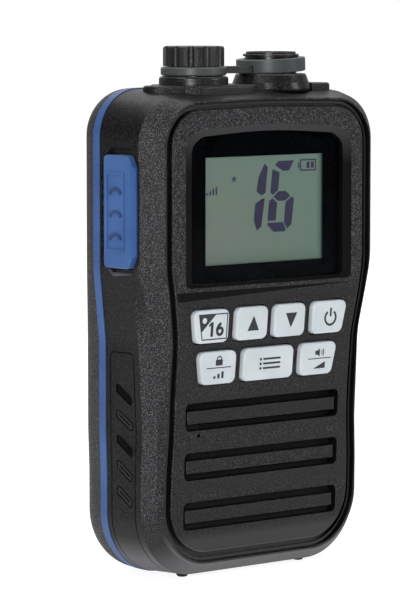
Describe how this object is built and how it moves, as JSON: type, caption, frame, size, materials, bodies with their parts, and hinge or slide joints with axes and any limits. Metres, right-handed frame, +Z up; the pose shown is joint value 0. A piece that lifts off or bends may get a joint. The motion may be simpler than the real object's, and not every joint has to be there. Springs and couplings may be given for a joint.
{
  "type": "handheld marine radio",
  "caption": "Handheld two-way marine radio with a backlit display, keypad, speaker, side talk button, capped jack, antenna socket and clip-on battery pack.",
  "frame": {"origin": "centre of the bounding box on the plane that the feet stand on", "axes": "+Z up along the body, +Y from the display to the battery pack, +X to the right as seen from the display"},
  "size_m": [0.0683, 0.0308, 0.1137],
  "materials": {
    "black_shell": "spark-textured moulded black plastic",
    "rear_shell": "fine-textured moulded black plastic",
    "band_blue": "smooth blue rubber",
    "ptt_blue": "satin blue rubber over a plastic core",
    "lens_window": "clear gloss window",
    "black_print": "gloss black print behind the window",
    "soft_foam": "black foam and sealing rubber",
    "lcd_glass": "greenish grey liquid crystal glass",
    "light_guide": "white light guide",
    "key_white": "off-white satin key with dark legends",
    "key_mat": "grey silicone",
    "dome_steel": "pressed steel dome",
    "speaker_cloth": "black waterproof membrane",
    "speaker_metal": "plated steel",
    "speaker_paper": "thin black film cone",
    "board_green": "green board laminate",
    "shield_tin": "tinned steel can",
    "screw_steel": "dark zinc-plated steel",
    "switch_black": "black switch body",
    "insert_brass": "turned brass",
    "foot_rubber": "black rubber foot",
    "post_black": "satin moulded black plastic",
    "cap_rubber": "black moulded rubber",
    "tether_slate": "dark slate grey rubber",
    "contact_gold": "gold-plated contact",
    "white_insulator": "white insulator",
    "pack_black": "fine-textured black plastic",
    "cell_wrap": "silver-grey foil-wrapped cell"
  },
  "bodies": {
    "radio": {"accessory_jack": "speaker_metal", "antenna_collar": "post_black", "antenna_socket": "insert_brass", "backlight_plate": "light_guide", "bay_contacts": "contact_gold", "board_screws": "screw_steel", "display_lens": "lens_window", "dome_switches": "dome_steel", "feet": "foot_rubber", "front_housing": "black_shell", "housing_gasket": "soft_foam", "housing_screws": "screw_steel", "jack_collar": "post_black", "keypad_mat": "key_mat", "lcd_frame": "switch_black", "lcd_panel": "lcd_glass", "lens_gasket": "soft_foam", "lens_mask": "black_print", "lock_insert": "insert_brass", "main_board": "board_green", "mic_boot": "soft_foam", "microphone": "speaker_metal", "ptt_seal": "soft_foam", "ptt_switch": "switch_black", "rear_housing": "rear_shell", "rf_shield": "shield_tin", "side_strip": "black_shell", "socket_insulator": "white_insulator", "socket_pin": "contact_gold", "speaker_frame": "speaker_metal", "speaker_magnet": "speaker_metal", "speaker_membrane": "speaker_cloth", "speaker_seal": "soft_foam", "tether_antenna_ring": "tether_slate", "tether_strap": "tether_slate", "trim_band": "band_blue"},
    "key_channel": {"key_channel": "key_white"},
    "key_up": {"key_up": "key_white"},
    "key_down": {"key_down": "key_white"},
    "key_power": {"key_power": "key_white"},
    "key_lock": {"key_lock": "key_white"},
    "key_menu": {"key_menu": "key_white"},
    "key_volume": {"key_volume": "key_white"},
    "ptt": {"ptt_button": "ptt_blue"},
    "cap_tether": {"tether_cap_ring": "tether_slate"},
    "jack_cap": {"jack_cap": "cap_rubber", "cap_seal": "soft_foam"},
    "battery_pack": {"battery_case": "pack_black", "battery_lid": "pack_black", "battery_cell": "cell_wrap", "battery_contacts": "contact_gold", "battery_seal": "soft_foam", "charge_contacts": "contact_gold", "clip_inserts": "insert_brass"},
    "battery_lock": {"battery_screw": "screw_steel"},
    "speaker_cone": {"speaker_cone": "speaker_paper"}
  },
  "joints": [
    {"name": "key_channel_press", "type": "slide", "parent": "radio", "child": "key_channel", "axis": [0, 1, 0], "range_m": [0, 0.0006], "stiffness_N_per_m": 300},
    {"name": "key_up_press", "type": "slide", "parent": "radio", "child": "key_up", "axis": [0, 1, 0], "range_m": [0, 0.0006], "stiffness_N_per_m": 300},
    {"name": "key_down_press", "type": "slide", "parent": "radio", "child": "key_down", "axis": [0, 1, 0], "range_m": [0, 0.0006], "stiffness_N_per_m": 300},
    {"name": "key_power_press", "type": "slide", "parent": "radio", "child": "key_power", "axis": [0, 1, 0], "range_m": [0, 0.0006], "stiffness_N_per_m": 300},
    {"name": "key_lock_press", "type": "slide", "parent": "radio", "child": "key_lock", "axis": [0, 1, 0], "range_m": [0, 0.0006], "stiffness_N_per_m": 300},
    {"name": "key_menu_press", "type": "slide", "parent": "radio", "child": "key_menu", "axis": [0, 1, 0], "range_m": [0, 0.0006], "stiffness_N_per_m": 300},
    {"name": "key_volume_press", "type": "slide", "parent": "radio", "child": "key_volume", "axis": [0, 1, 0], "range_m": [0, 0.0006], "stiffness_N_per_m": 300},
    {"name": "ptt_press", "type": "slide", "parent": "radio", "child": "ptt", "axis": [1, 0, 0], "range_m": [0, 0.0008], "stiffness_N_per_m": 300},
    {"name": "cap_lift", "type": "slide", "parent": "radio", "child": "cap_tether", "axis": [0, 0, 1], "range_m": [0, 0.002], "deforming": ["tether_strap"]},
    {"name": "cap_turn", "type": "hinge", "parent": "cap_tether", "child": "jack_cap", "pos_m": [-0.01095, -0.0025, 0.1092], "axis": [0, 0, 1], "range_deg": [0, 720.5]},
    {"name": "battery_slide", "type": "slide", "parent": "radio", "child": "battery_pack", "axis": [0, 1, 0], "range_m": [0, 0.013]},
    {"name": "battery_lock_turn", "type": "hinge", "parent": "battery_pack", "child": "battery_lock", "pos_m": [0, 0.0138, 0.0897], "axis": [0, 1, 0], "range_deg": [0, 90]},
    {"name": "speaker_drive", "type": "slide", "parent": "radio", "child": "speaker_cone", "axis": [0, 1, 0], "range_m": [-0.0003, 0.0003], "stiffness_N_per_m": 300}
  ],
  "couplings": [
    {"joint": "cap_turn", "follows": "cap_lift", "rad_per_m": 6283.2}
  ]
}
